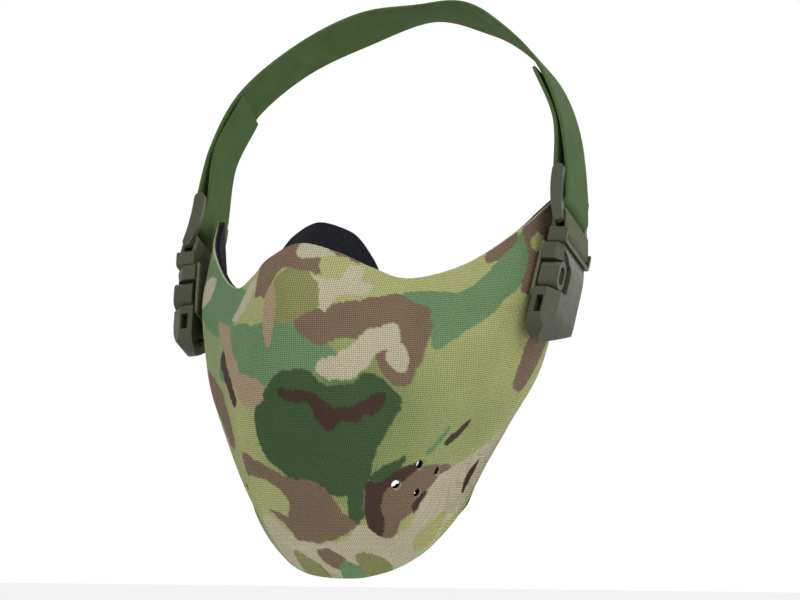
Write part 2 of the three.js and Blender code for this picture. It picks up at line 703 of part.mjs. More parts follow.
const leftBuckle = buckle('left', false);
leftBuckle.applyMatrix4(buckleMatrix);
mask.add(leftBuckle);

// The right buckle is the left one reflected in the mask's middle plane
const reflect = (v) => vec(-v.x, v.y, v.z);
const rightBuckle = buckle('right', true);
rightBuckle.applyMatrix4(
  new THREE.Matrix4()
    .makeBasis(reflect(buckleX).negate(), reflect(buckleY), reflect(buckleZ))
    .setPosition(reflect(buckleOrigin)),
);
mask.add(rightBuckle);

export default mask;
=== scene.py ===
"""Camouflage half face mask: the looks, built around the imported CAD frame."""
import json
import math

import bpy
import numpy as np
from mathutils import Matrix, Vector


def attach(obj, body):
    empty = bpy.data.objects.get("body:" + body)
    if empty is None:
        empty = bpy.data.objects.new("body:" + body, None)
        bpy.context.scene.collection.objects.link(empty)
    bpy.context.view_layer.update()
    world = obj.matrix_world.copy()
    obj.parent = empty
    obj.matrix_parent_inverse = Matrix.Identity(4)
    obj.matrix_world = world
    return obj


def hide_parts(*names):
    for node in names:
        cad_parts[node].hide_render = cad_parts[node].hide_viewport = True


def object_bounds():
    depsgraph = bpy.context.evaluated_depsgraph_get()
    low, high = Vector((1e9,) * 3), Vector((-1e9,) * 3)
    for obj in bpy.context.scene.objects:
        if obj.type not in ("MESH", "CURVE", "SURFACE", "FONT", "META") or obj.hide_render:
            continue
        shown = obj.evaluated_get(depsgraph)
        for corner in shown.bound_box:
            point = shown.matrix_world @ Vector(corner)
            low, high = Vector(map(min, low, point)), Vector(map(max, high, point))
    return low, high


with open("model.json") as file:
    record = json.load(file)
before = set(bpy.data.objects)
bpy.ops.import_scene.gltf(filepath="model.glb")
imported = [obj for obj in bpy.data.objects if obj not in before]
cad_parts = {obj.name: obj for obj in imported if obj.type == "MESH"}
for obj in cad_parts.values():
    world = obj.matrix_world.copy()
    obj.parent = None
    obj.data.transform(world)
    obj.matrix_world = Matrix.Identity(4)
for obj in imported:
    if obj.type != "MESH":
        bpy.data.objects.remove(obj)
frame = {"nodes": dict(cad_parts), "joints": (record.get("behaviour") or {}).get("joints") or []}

CAD_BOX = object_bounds()
MM = 0.001

# ---------------------------------------------------------------------------
# Sizes, in millimetres, as in the CAD source
# ---------------------------------------------------------------------------
SECTIONS = [
    [(0, 0, 0), (15, 4.5, -4), (26, 12, -9.5), (38, 22, -13), (55, 42, -5), (71, 63.5, 11.5), (81, 86.5, 29)],
    [(0, -12, -26), (14, -7, -27), (28, 4, -29), (42, 19.5, -29), (61.5, 42, -22), (75.5, 63.5, -11),
     (81, 90, 4)],
    [(0, -10, -55), (16, -7, -55), (30, 3, -56), (46, 21, -55), (62, 46, -47), (73.5, 69, -34),
     (77.5, 92, -20)],
    [(0, 1, -84), (15, 3, -84), (29, 11, -84), (42, 29, -81), (53.5, 55, -72), (64, 77.5, -59),
     (70, 92.5, -45)],
    [(0, 15, -108.5), (13, 16, -108), (25.5, 23, -106), (36.5, 36.5, -101), (45.5, 57.5, -90), (54, 72, -78),
     (60, 82, -67)],
    [(0, 44, -131), (12, 45, -130), (23, 48, -126.5), (33, 53, -120), (43, 56.5, -109), (49.5, 61, -97),
     (53, 70.5, -85)],
]
SKIN_THICKNESS = 2.0
LINING_LEVEL = -2.3
LINING_THICKNESS = 1.1
INNER_LEVEL = -3.4
AIR_HOLE_PLACE = (0.484, 0.695)
AIR_HOLE_SPREAD = 11
AIR_HOLE_RISE = 6.2
AIR_HOLE_RADIUS = 1.7
RIM_ROUNDING = 0.5
PAD_REACH = 32 / 81
PAD_LIFT = 15
PAD_RISE = 15
PAD_GLUE = 1.0
PAD_THICKNESS = 3.5
STRAP_WIDTH = 25
STRAP_THICKNESS = 1.5
SOCKET_TOP = 17.5
PRONG_THICKNESS = 3.2
CLIP_BAR = (23.4, 5.2)
BAR_GAP_RADIUS = 1.9
ADJUSTER_TILT = math.radians(12)
LOWER_BAR_Y = 8.2
MIDDLE_BAR_Y = 16.48
UPPER_BAR_Y = 27
OVER_HEAD = [(84, 95, 62), (74, 101, 86), (53, 115, 110), (30, 132, 127), (0, 143, 136)]
HEAD_CENTRE = (0, 95, 20)
STITCH_SPACING = 2.4

# The camera: its lens and sensor in millimetres, and how far the mask's frame stands off its axis
CAMERA_AZIMUTH = math.radians(21)
CAMERA_ELEVATION = math.radians(-8)
CAMERA_DISTANCE = 0.650
CAMERA_LENS = 74.565
CAMERA_SENSOR = 36
CAMERA_ASIDE = -0.03923
CAMERA_BELOW = 0.02236


# ---------------------------------------------------------------------------
# Curves and surfaces
# ---------------------------------------------------------------------------
def catmull(points, shares):
    """Uniform Catmull-Rom through points[k] at every share from 0 to 1; points may hold whole arrays."""
    points = np.asarray(points, float)
    last = len(points) - 1
    padded = np.concatenate([[2 * points[0] - points[1]], points, [2 * points[-1] - points[-2]]])
    place = np.clip(np.asarray(shares, float), 0, 1) * last
    k = np.minimum(place.astype(int), last - 1)
    w = (place - k).reshape((-1,) + (1,) * (points.ndim - 1))
    p0, p1, p2, p3 = (padded[k + i] for i in range(4))
    t0, t1 = (p2 - p0) / 2, (p3 - p1) / 2
    return p1 + w * (t0 + w * (3 * (p2 - p1) - 2 * t0 - t1 + w * (2 * (p1 - p2) + t0 + t1)))


def centripetal(points, shares):
    """Centripetal Catmull-Rom through unevenly spaced points."""
    points = np.asarray(points, float)
    last = len(points) - 1
    padded = np.concatenate([[2 * points[0] - points[1]], points, [2 * points[-1] - points[-2]]])
    out = []
    for share in shares:
        place = min(max(share, 0), 1) * last
        k = min(int(place), last - 1)
        w = place - k
        p = padded[k:k + 4]
        d = [max(np.linalg.norm(p[i + 1] - p[i]) ** 0.5, 1e-6) for i in range(3)]
        t1 = ((p[1] - p[0]) / d[0] - (p[2] - p[0]) / (d[0] + d[1]) + (p[2] - p[1]) / d[1]) * d[1]
        t2 = ((p[2] - p[1]) / d[1] - (p[3] - p[1]) / (d[1] + d[2]) + (p[3] - p[2]) / d[2]) * d[1]
        square = 3 * (p[2] - p[1]) - 2 * t1 - t2
        cube = 2 * (p[1] - p[2]) + t1 + t2
        out.append(p[1] + w * (t1 + w * (square + w * cube)))
    return np.array(out)


def whole_sections():
    half = np.array(SECTIONS, float)
    other = half[:, :0:-1].copy()
    other[..., 0] *= -1
    return np.concatenate([other, half], axis=1)


def shell_surface(across, down):
    """Points of the shell's outer face for arrays of across (-1 to 1) and down (0 to 1), in millimetres."""
    rows = catmull(np.swapaxes(whole_sections(), 0, 1), (np.asarray(across) + 1) / 2)
    return catmull(np.swapaxes(rows, 0, 1), down)


def unit(v):
    v = np.asarray(v, float)
    return v / np.maximum(np.linalg.norm(v, axis=-1, keepdims=True), 1e-12)


def grid_normals(grid):
    """Outward normals of a grid whose rows go down and whose columns go across."""
    down = np.gradient(grid, axis=0)
    across = np.gradient(grid, axis=1)
    return unit(np.cross(down, across))


def shell_frame(across, down):
    step = 0.01
    g = shell_surface([across - step, across, across + step], [down - step, down, down + step])
    rear = unit(g[1, 2] - g[1, 0])
    normal = unit(np.cross(g[2, 1] - g[0, 1], rear))
    return g[1, 1], normal, rear


# ---------------------------------------------------------------------------
# Mesh building
# ---------------------------------------------------------------------------
def mesh_object(name, points, faces, uv=None, smooth=True):
    """A mesh from points in millimetres. uv holds one pair for each point."""
    mesh = bpy.data.meshes.new(name)
    mesh.from_pydata((np.asarray(points) * MM).tolist(), [], [list(map(int, f)) for f in faces])
    if uv is not None:
        layer = mesh.uv_layers.new(name="UVMap")
        loops = np.zeros(len(mesh.loops), int)
        mesh.loops.foreach_get("vertex_index", loops)
        layer.data.foreach_set("uv", np.asarray(uv, np.float32)[loops].ravel())
    if smooth:
        mesh.shade_smooth()
    mesh.validate()
    obj = bpy.data.objects.new(name, mesh)
    bpy.context.scene.collection.objects.link(obj)
    return obj


def grid_quads(rows, cols):
    k = (np.arange(rows - 1)[:, None] * cols + np.arange(cols - 1)[None, :]).ravel()
    return np.stack([k, k + cols, k + cols + 1, k + 1], axis=1)


def thicken(points, normals, quads, outer, inner, bulge):
    """A closed skin between two levels with rounded edges.

    Returns its points, its faces and the place that each point came from."""
    used = np.unique(quads)
    remap = -np.ones(len(points), int)
    remap[used] = np.arange(len(used))
    quads = remap[quads]
    p, n = points[used], normals[used]
    count = len(p)
    edges = np.concatenate([quads[:, [i, (i + 1) % 4]] for i in range(4)])
    centre = np.tile(p[quads].mean(axis=1), (4, 1))
    key = np.minimum(edges[:, 0], edges[:, 1]) * count + np.maximum(edges[:, 0], edges[:, 1])
    _, first, repeats = np.unique(key, return_index=True, return_counts=True)
    rim = first[repeats == 1]
    a, b = edges[rim, 0], edges[rim, 1]
    away = np.zeros_like(p)
    push = (p[a] + p[b]) / 2 - centre[rim]
    np.add.at(away, a, push)
    np.add.at(away, b, push)
    away -= n * (away * n).sum(axis=1, keepdims=True)
    away = unit(away)
    rim_points = np.unique(a)
    slot = -np.ones(count, int)
    slot[rim_points] = np.arange(len(rim_points))
    all_points = [p + n * outer, p + n * inner]
    source = [used, used]
    ring_ids = [np.arange(count)]
    base = 2 * count
    for share in (0.2, 0.5, 0.8):
        lift = math.sin(math.pi * share)
        level = outer + (inner - outer) * share
        ring = p[rim_points] + n[rim_points] * level + away[rim_points] * bulge * lift
        all_points.append(ring)
        source.append(used[rim_points])
        ring_ids.append(np.where(slot >= 0, base + slot, -1))
        base += len(rim_points)
    ring_ids.append(np.arange(count) + count)
    faces = [quads, (quads + count)[:, ::-1]]
    for upper, lower in zip(ring_ids[:-1], ring_ids[1:]):
        faces.append(np.stack([upper[b], upper[a], lower[a], lower[b]], axis=1))
    return np.concatenate(all_points), np.concatenate(faces), np.concatenate(source)


def mirrored(points, faces):
    return points * np.array([-1, 1, 1]), np.asarray(faces)[:, ::-1]


# ---------------------------------------------------------------------------
# Materials
# ---------------------------------------------------------------------------
class Nodes:
    """A material's node tree, with short calls for the nodes it needs."""

    def __init__(self, name):
        self.material = bpy.data.materials.new(name)
        self.material.use_nodes = True
        self.tree = self.material.node_tree
        self.shader = self.tree.nodes["Principled BSDF"]

    def add(self, kind, inputs=None, **settings):
        node = self.tree.nodes.new(kind)
        for key, value in settings.items():
            setattr(node, key, value)
        for key, value in (inputs or {}).items():
            self.feed(node.inputs[key], value)
        return node

    def feed(self, socket, value):
        if isinstance(value, bpy.types.NodeSocket):
            self.tree.links.new(value, socket)
        else:
            socket.default_value = value

    def math(self, operation, *values):
        node = self.add("ShaderNodeMath", operation=operation)
        for socket, value in zip(node.inputs, values):
            self.feed(socket, value)
        return node.outputs[0]

    def noise(self, vector, scale, detail=3, roughness=0.55):
        inputs = {"Vector": vector, "Scale": scale, "Detail": detail, "Roughness": roughness}
        return self.add("ShaderNodeTexNoise", inputs).outputs[0]

    def ramp(self, factor, low, high, a, b):
        inputs = {"Value": factor, "From Min": low, "From Max": high, "To Min": a, "To Max": b}
        node = self.add("ShaderNodeMapRange", inputs)
        return node.outputs[0]

    def mix(self, factor, a, b, blend="MIX"):
        node = self.add("ShaderNodeMix", data_type="RGBA", blend_type=blend)
        self.feed(node.inputs["Factor"], factor)
        self.feed(node.inputs[6], a)
        self.feed(node.inputs[7], b)
        return node.outputs[2]

    def value_scale(self, colour, factor):
        node = self.add("ShaderNodeHueSaturation", {"Color": colour})
        self.feed(node.inputs["Value"], factor)
        return node.outputs[0]

    def bump(self, height, distance, strength=1.0, normal=None):
        node = self.add("ShaderNodeBump", {"Height": height, "Distance": distance, "Strength": strength})
        if normal is not None:
            self.feed(node.inputs["Normal"], normal)
        return node.outputs[0]

    def wave(self, coordinate, pitch, phase=0.0):
        turned = self.math("MULTIPLY_ADD", coordinate, 2 * math.pi / pitch, phase)
        return self.math("SINE", turned)

    def finish(self, colour, roughness, normal, **fixed):
        self.feed(self.shader.inputs["Base Color"], colour)
        self.feed(self.shader.inputs["Roughness"], roughness)
        self.feed(self.shader.inputs["Normal"], normal)
        for key, value in fixed.items():
            self.shader.inputs[key].default_value = value
        return self.material


def srgb(red, green, blue):
    def linear(c):
        c /= 255
        return c / 12.92 if c <= 0.04045 else ((c + 0.055) / 1.055) ** 2.4
    return (linear(red), linear(green), linear(blue), 1.0)


def weave_height(n, pitch):
    """Plain weave on UVs in millimetres: threads cross over and under each other."""
    uv = n.add("ShaderNodeTexCoord").outputs["UV"]
    split = n.add("ShaderNodeSeparateXYZ", {"Vector": uv})
    u, v = split.outputs[0], split.outputs[1]
    lumps = n.math("MULTIPLY", n.wave(u, 2 * pitch), n.wave(v, 2 * pitch))
    warp = n.math("ABSOLUTE", n.wave(u, 2 * pitch))
    weft = n.math("ABSOLUTE", n.wave(v, 2 * pitch))
    over = n.math("GREATER_THAN", lumps, 0.0)
    keep = n.math("MULTIPLY", over, warp)
    other = n.math("MULTIPLY", n.math("SUBTRACT", 1.0, over), weft)
    return n.math("ADD", keep, other), uv


def camo_material():
    n = Nodes("camo_cloth")
    print_colour = n.add("ShaderNodeVertexColor", layer_name="camo").outputs[0]
    height, uv = weave_height(n, 0.8)
    grain = n.noise(uv, 0.9, 4)
    cloudy = n.noise(uv, 0.05, 3)
    # Painted shade and highlight on the weave: the print is darkened to 0.42 where threads dip and lifted to
    # 1.12 on their crowns; grain and cloudy add random tone.
    thread_shade_and_tone = n.math("ADD", n.ramp(height, 0.0, 1.0, 0.42, 1.12), n.ramp(grain, 0.3, 0.7, -0.07, 0.07))
    thread_shade_and_tone = n.math("ADD", thread_shade_and_tone, n.ramp(cloudy, 0.3, 0.7, -0.05, 0.05))
    colour = n.value_scale(print_colour, thread_shade_and_tone)
    normal = n.bump(height, 0.0003, 1.0, n.bump(cloudy, 0.0012, 0.25))
    return n.finish(colour, n.ramp(grain, 0.3, 0.7, 0.78, 0.92), normal, **{"Specular IOR Level": 0.12})


def black_cloth_material(name, pitch):
    n = Nodes(name)
    height, uv = weave_height(n, pitch)
    fuzz = n.noise(uv, 1.3, 5, 0.7)
    lint = n.noise(uv, 0.12, 3)
    colour = n.mix(n.ramp(fuzz, 0.35, 0.7, 0.0, 1.0), srgb(11, 12, 16), srgb(27, 28, 34))
    colour = n.value_scale(colour, n.ramp(lint, 0.3, 0.7, 0.85, 1.2))
    normal = n.bump(height, 0.00012, 0.6, n.bump(fuzz, 0.0002, 0.4))
    return n.finish(colour, n.ramp(fuzz, 0.3, 0.7, 0.85, 0.98), normal, **{"Specular IOR Level": 0.1})


def webbing_material(name, dark, light, rib, cross):
    """Narrow woven tape: ribs across its width and fine threads along it."""
    n = Nodes(name)
    uv = n.add("ShaderNodeTexCoord").outputs["UV"]
    split = n.add("ShaderNodeSeparateXYZ", {"Vector": uv})
    wobble = n.math("MULTIPLY", n.noise(uv, 0.8, 2), 0.35)
    along = n.math("ADD", split.outputs[1], wobble)
    ribs = n.math("ABSOLUTE", n.wave(along, 2 * rib))
    stagger = n.wave(along, 4 * rib)
    shifted = n.math("MULTIPLY_ADD", stagger, cross * 0.2, split.outputs[0])
    threads = n.math("ABSOLUTE", n.wave(shifted, 2 * cross))
    height = n.math("MULTIPLY", n.math("POWER", ribs, 0.6), n.math("MULTIPLY_ADD", threads, 0.5, 0.5))
    fuzz = n.noise(uv, 2.0, 4, 0.7)
    patchy = n.noise(uv, 0.08, 3)
    # Painted shade: the tape takes its dark colour in the grooves between ribs and threads, where its height
    # is low, and the lighter colour on their tops.
    colour = n.mix(height, dark, light)
    colour = n.value_scale(colour, n.ramp(patchy, 0.3, 0.7, 0.88, 1.1))
    normal = n.bump(height, 0.0003, 0.9, n.bump(fuzz, 0.0001, 0.4))
    return n.finish(colour, n.ramp(fuzz, 0.3, 0.7, 0.75, 0.92), normal, **{"Specular IOR Level": 0.12})


def plastic_material():
    n = Nodes("olive_plastic")
    place = n.add("ShaderNodeTexCoord").outputs["Object"]
    grain = n.noise(place, 2600, 3, 0.6)
    flow = n.noise(place, 45, 3)
    rub = n.noise(place, 260, 5, 0.65)
    colour = n.mix(n.ramp(flow, 0.3, 0.7, 0.0, 1.0), srgb(50, 54, 38), srgb(60, 63, 46))
    colour = n.mix(n.ramp(rub, 0.62, 0.8, 0.0, 0.35), colour, srgb(80, 83, 66))
    normal = n.bump(grain, 0.00006, 0.5, n.bump(rub, 0.00008, 0.3))
    return n.finish(colour, n.ramp(rub, 0.3, 0.7, 0.4, 0.56), normal, **{"Specular IOR Level": 0.3})


def metal_material():
    n = Nodes("blackened_rivet")
    place = n.add("ShaderNodeTexCoord").outputs["Object"]
    scratch = n.noise(place, 1800, 4, 0.7)
    worn = n.noise(place, 300, 4)
    colour = n.mix(n.ramp(worn, 0.5, 0.75, 0.0, 0.8), srgb(40, 41, 38), srgb(120, 118, 108))
    return n.finish(colour, n.ramp(scratch, 0.3, 0.7, 0.3, 0.5), n.bump(scratch, 0.00005, 0.4), Metallic=0.9)


def thread_material():
    n = Nodes("dark_thread")
    place = n.add("ShaderNodeTexCoord").outputs["Object"]
    twist = n.noise(place, 3500, 3)
    colour = n.mix(twist, srgb(34, 42, 26), srgb(66, 80, 50))
    return n.finish(colour, 0.8, n.bump(twist, 0.00008, 0.6))


def floor_material():
    n = Nodes("pale_floor")
    place = n.add("ShaderNodeTexCoord").outputs["Object"]
    mottle = n.noise(place, 4, 3)
    colour = n.mix(mottle, (0.86, 0.86, 0.86, 1), (0.9, 0.9, 0.9, 1))
    return n.finish(colour, 0.9, n.bump(mottle, 0.0002, 0.1))


# ---------------------------------------------------------------------------
# The print
# ---------------------------------------------------------------------------
# Patches of the camouflage print, painted in this order. Their outlines are in hundredths of the
# way across (negative on the wearer's right) and down the shell.
COLOURS = {
    "lime": srgb(160, 163, 108),
    "olive": srgb(128, 130, 84),
    "sage": srgb(101, 131, 92),
    "green": srgb(84, 112, 66),
    "forest": srgb(60, 82, 50),
    "brown": srgb(116, 97, 78),
    "tan": srgb(158, 138, 112),
    "dark": srgb(66, 50, 42),
    "cream": srgb(176, 170, 144),
}
CORE_COLOUR = np.array(srgb(22, 23, 25))
THREAD_COLOUR = np.array(srgb(196, 190, 160))
PATCHES = [
    ("sage", [(-48, 22), (-33, 21), (-18, 24), (2, 24), (12, 27), (20, 33), (14, 37), (-2, 38), (-12, 41),
              (-22, 39), (-34, 37), (-50, 36)]),
    ("sage", [(-78, 0), (-58, -4), (-38, 5), (-36, 16), (-48, 22), (-66, 24), (-84, 16)]),
    ("olive", [(-9, 10), (3, 8), (12, 11), (14, 18), (9, 24), (-2, 25), (-10, 20)]),
    ("brown", [(-24, -2), (-8, -4), (8, -4), (20, -3), (30, -3), (22, 4), (13, 9), (2, 9), (-8, 8), (-14, 16),
               (-20, 17), (-24, 8)]),
    ("tan", [(-13, 13), (-7, 15), (-6, 24), (-9, 31), (-13, 24)]),
    ("cream", [(-1, 2), (3, -1), (12, 0), (17, 2), (9, 4), (1, 5)]),
    ("lime", [(10, 4), (18, 1), (27, 2), (26, 8), (14, 10)]),
    ("lime", [(-24, 15), (-17, 15), (-14, 20), (-20, 24), (-26, 21)]),
    ("brown", [(4, 25), (12, 21), (25, 17), (37, 12), (46, 9), (55, 14), (54, 23), (50, 32), (44, 40),
               (37, 38), (33, 30), (24, 28), (14, 31)]),
    ("cream", [(7, 9), (14, 11), (20, 9), (23, 3), (29, 2), (29, 7), (34, 8), (31, 13), (22, 15), (17, 21),
               (14, 20), (13, 14)]),
    ("cream", [(41, 22), (44, 24), (42, 29), (36, 31), (31, 36), (23, 40), (14, 39), (12, 36), (20, 33),
               (26, 30), (33, 25)]),
    ("forest", [(-12, 43), (-4, 38), (8, 37), (14, 41), (24, 41), (31, 37), (37, 39), (42, 45), (37, 53),
                (31, 61), (27, 70), (16, 72), (4, 68), (-8, 65), (-17, 57), (-17, 49)]),
    ("cream", [(40, 29), (44, 28), (46, 32), (44, 36), (40, 36), (38, 32)]),
    ("dark", [(-5, 42), (3, 42), (12, 44), (18, 47), (25, 46), (33, 43), (37, 43), (35, 47), (28, 50),
              (20, 50), (15, 53), (10, 50), (8, 46), (-2, 45)]),
    ("forest", [(29, 48), (33, 52), (29, 62), (27, 72), (25, 80), (20, 82), (19, 76), (22, 66), (24, 56)]),
    ("brown", [(-34, 58), (-22, 60), (-10, 65), (4, 67), (11, 70), (17, 77), (22, 82), (12, 85), (0, 87),
               (-12, 87), (-18, 80), (-30, 72)]),
    ("lime", [(-34, 66), (-22, 66), (-12, 70), (-10, 75), (-14, 78), (-24, 76), (-34, 76)]),
    ("cream", [(-34, 80), (-22, 80), (-14, 86), (2, 87), (14, 86), (24, 82), (36, 88), (52, 86), (60, 92),
               (54, 102), (20, 104), (-10, 97), (-20, 102), (-40, 96)]),
    ("brown", [(28, 69), (38, 66), (50, 65), (60, 69), (60, 73), (52, 76), (49, 81), (42, 83), (37, 88),
               (30, 87), (26, 80)]),
    ("dark", [(28, 68), (35, 66), (44, 63), (48, 64), (43, 68), (36, 71), (34, 76), (34, 83), (30, 87),
              (26, 81), (27, 74)]),
    ("forest", [(29, 66), (38, 62), (43, 60), (41, 64), (33, 68)]),
    ("dark", [(47, 78), (52, 76), (51, 80), (47, 82)]),
    ("cream", [(54, 76), (58, 72), (66, 72), (78, 72), (92, 72), (97, 80), (88, 96), (62, 96), (44, 92),
               (49, 82)]),
    ("sage", [(49.5, 59.5), (52.5, 57), (56, 54), (57, 55), (53.5, 58.5), (50.5, 61)]),
    ("dark", [(55.5, 58.5), (58.5, 56), (62, 54.5), (64, 55.5), (61, 58), (57, 60)]),
    ("lime", [(44, 93), (52, 90), (62, 91), (56, 97), (46, 98)]),
    ("dark", [(71, 84), (77, 80), (77, 85), (72, 91)]),
    ("brown", [(-6, 90), (2, 89), (8, 93), (4, 97), (-4, 95)]),
    ("sage", [(2, 96), (7, 94), (12, 95), (16, 99), (13, 103), (2, 103)]),
    ("olive", [(14, 92), (22, 92), (30, 97), (28, 103), (16, 101)]),
    ("olive", [(-22, 91), (-12, 93), (-6, 99), (-14, 103), (-24, 99)]),
    ("sage", [(46, 8), (55, 8), (62, 12), (69, 9), (77, 4), (85, 1), (88, 7), (82, 16), (72, 22), (62, 27),
              (53, 30), (54, 18)]),
    ("brown", [(73, 0), (80, -3), (82, 2), (76, 5), (72, 4)]),
    ("brown", [(85, -4), (97, -4), (101, 4), (98, 14), (91, 16), (84, 24), (79, 20), (84, 10)]),
    ("lime", [(86, 7), (90, 5), (91, 10), (87, 11)]),
    ("brown", [(82, 38), (88, 36), (96, 36), (101, 42), (94, 52), (84, 56), (78, 50)]),
    ("tan", [(-58, 20), (-48, 20), (-38, 27), (-26, 36), (-13, 40), (-12, 45), (-22, 46), (-34, 38),
             (-46, 30)]),
    ("dark", [(-50, 28), (-44, 31), (-36, 37), (-30, 43), (-34, 45), (-42, 38), (-50, 32)]),
    ("brown", [(-60, 36), (-50, 39), (-43, 45), (-40, 55), (-46, 56), (-52, 48), (-62, 42)]),
    ("cream", [(-33, 3), (-26, 6), (-27, 14), (-36, 19), (-44, 18), (-38, 12)]),
    ("cream", [(-78, 8), (-72, 4), (-70, 12), (-74, 19), (-79, 16)]),
    ("brown", [(-100, -2), (-88, -4), (-84, 6), (-90, 18), (-101, 20)]),
    ("green", [(-98, 24), (-82, 22), (-70, 32), (-74, 46), (-88, 50), (-102, 42)]),
    ("cream", [(-92, 34), (-84, 30), (-80, 37), (-86, 44), (-93, 41)]),
    ("forest", [(-76, 54), (-62, 50), (-52, 58), (-54, 70), (-68, 74), (-80, 66)]),
    ("tan", [(-96, 60), (-86, 56), (-82, 68), (-88, 80), (-100, 76)]),
    ("dark", [(-72, 60), (-64, 56), (-60, 62), (-66, 68)]),
    ("brown", [(-62, 78), (-50, 74), (-42, 82), (-50, 92), (-64, 90)]),
    ("sage", [(-84, 84), (-72, 82), (-68, 92), (-76, 100), (-88, 98)]),
]


def value_noise(x, y, seed):
    """Smooth noise between -1 and 1, the same in each run."""
    cells = np.random.default_rng(seed).uniform(-1, 1, (64, 64))
    x0, y0 = np.floor(x).astype(int), np.floor(y).astype(int)
    fx, fy = x - x0, y - y0
    fx, fy = fx * fx * (3 - 2 * fx), fy * fy * (3 - 2 * fy)
    pick = lambda i, j: cells[(x0 + i) % 64, (y0 + j) % 64]
    top = pick(0, 0) * (1 - fx) + pick(1, 0) * fx
    low = pick(0, 1) * (1 - fx) + pick(1, 1) * fx
    return top * (1 - fy) + low * fy


def inside(x, y, outline):
    """Which points lie in a smooth closed outline."""
    loop = np.array(outline, float)
    wrapped = np.concatenate([loop[-2:], loop, loop[:3]])
    spans = len(wrapped) - 1
    shares = np.linspace(2 / spans, (2 + len(loop)) / spans, 6 * len(loop), endpoint=False)
    ring = catmull(wrapped, shares)
    hit = np.zeros(len(x), bool)
    box = (x > ring[:, 0].min()) & (x < ring[:, 0].max()) & (y > ring[:, 1].min()) & (y < ring[:, 1].max())
    px, py = x[box], y[box]
    odd = np.zeros(len(px), bool)
    for (ax, ay), (bx, by) in zip(ring, np.roll(ring, -1, axis=0)):
        if ay != by:
            cross = (ay > py) != (by > py)
            odd ^= cross & (px < (bx - ax) * (py - ay) / (by - ay) + ax)
    hit[box] = odd
    return hit


def print_colours(across, down, cell):
    """The print's colour averaged over each place's cell, so that the edges of the patches are smooth."""
    shifts = [(-0.3, -0.1), (0.1, -0.3), (0.3, 0.1), (-0.1, 0.3)]
    return sum(print_at(across + a * cell[0], down + b * cell[1]) for a, b in shifts) / len(shifts)


def print_at(across, down):
    """The print's colour at each place: a lime to green ground with the patches on it. The ground's gradient
    is partly print and partly painted shade.
    """
    fine, broad = (across * 160, down * 160), (across * 30, down * 30)
    x = across * 100 + 0.35 * value_noise(*fine, 5) + 0.5 * value_noise(*broad, 6)
    y = down * 100 + 0.35 * value_noise(*fine, 7) + 0.5 * value_noise(*broad, 8)
    # Painted shade mixed into the print's ground: green and darker across the middle, lime on the lit near
    # cheek.
    green_and_painted_shade = np.clip(0.95 - np.abs(across - 0.25) * 1.7 + 0.25 * value_noise(across * 4, down * 5, 9), 0, 1)
    green_and_painted_shade *= np.clip((down - 0.22) / 0.2, 0, 1) * np.clip((0.85 - down) / 0.2, 0, 1)
    lime, green = np.array(COLOURS["lime"])[None], np.array(COLOURS["green"])[None]
    ground = lime * (1 - green_and_painted_shade[:, None]) + green * green_and_painted_shade[:, None]
    # Painted shade on top of the print's greener side: the far side, turned away from the key light, is
    # blended halfway to the darker sage.
    side = np.clip((-across - 0.3) / 0.25, 0, 1)[:, None] * 0.5
    colour = ground * (1 - side) + np.array(COLOURS["sage"])[None] * side
    for name, outline in PATCHES:
        colour[inside(x, y, outline)] = COLOURS[name]
    return colour


# ---------------------------------------------------------------------------
# Shell, lining and nose pad
# ---------------------------------------------------------------------------
def relief(across, down):
    """How far the moulded shell stands out from its plain sections, in millimetres."""
    a = np.abs(across)
    cheek = 1.3 * np.exp(-(((a - 0.78 + 0.55 * (down - 0.1)) / 0.07) ** 2))
    cheek = cheek * np.exp(-(((down - 0.42) / 0.28) ** 2))
    hollow = -1.2 * np.exp(-(((a - 0.6 + 0.5 * (down - 0.1)) / 0.09) ** 2))
    hollow = hollow * np.exp(-(((down - 0.4) / 0.25) ** 2))
    mouth = 1.6 * np.exp(-((a / 0.3) ** 2)) * np.exp(-(((down - 0.52) / 0.12) ** 2))
    ripple = 0.18 * value_noise(across * 9 + 20, down * 6 + 3, 11)
    return cheek + hollow + mouth + ripple


def shell_grid(columns, rows):
    across = np.linspace(-1, 1, columns)
    down = np.linspace(0, 1, rows)
    plain = shell_surface(across, down)
    normals = grid_normals(plain)
    rim_across, rim_down = columns // 25, rows // 14
    steady_columns = np.clip(np.arange(columns), rim_across, columns - 1 - rim_across)
    steady_rows = np.clip(np.arange(rows), 1, rows - 1 - rim_down)
    normals = normals[steady_rows][:, steady_columns]
    for _ in range(6):
        padded = np.pad(normals, ((1, 1), (1, 1), (0, 0)), mode="edge")
        rows_beside = padded[1:-1, 1:-1] + padded[:-2, 1:-1] + padded[2:, 1:-1]
        normals = unit(rows_beside + padded[1:-1, :-2] + padded[1:-1, 2:])
    a, d = np.meshgrid(across, down)
    grid = plain + normals * relief(a, d)[..., None]
    return grid, normals, a.ravel(), d.ravel(), cloth_uv(grid)


def cloth_uv(grid):
    """Millimetres along the cloth's two thread directions: level round the face, and down it."""
    middle = grid.shape[1] // 2
    level = np.linalg.norm(np.diff(grid[..., :2], axis=1), axis=2)
    u = np.concatenate([np.zeros((len(grid), 1)), np.cumsum(level, axis=1)], axis=1)
    u -= u[:, middle][:, None]
    profile = grid[:, middle]
    fall = np.concatenate([[0], np.cumsum(np.linalg.norm(np.diff(profile, axis=0), axis=1))])
    v = np.interp(-grid[..., 2], -profile[:, 2], fall) + np.minimum(-grid[..., 2], 0)
    return np.stack([u.ravel(), v.ravel()], axis=1)


def air_holes():
    """Centre and axis of the eight breathing holes."""
    point, normal, rear = shell_frame(*AIR_HOLE_PLACE)
    up = np.cross(normal, rear)
    holes = []
    for a, b in ((0, 1), (1, 0), (0, -1), (-1, 0)):
        centre = point + rear * a * AIR_HOLE_SPREAD + up * b * AIR_HOLE_RISE
        holes += [(centre, normal), (centre * [-1, 1, 1], normal * [-1, 1, 1])]
    return holes


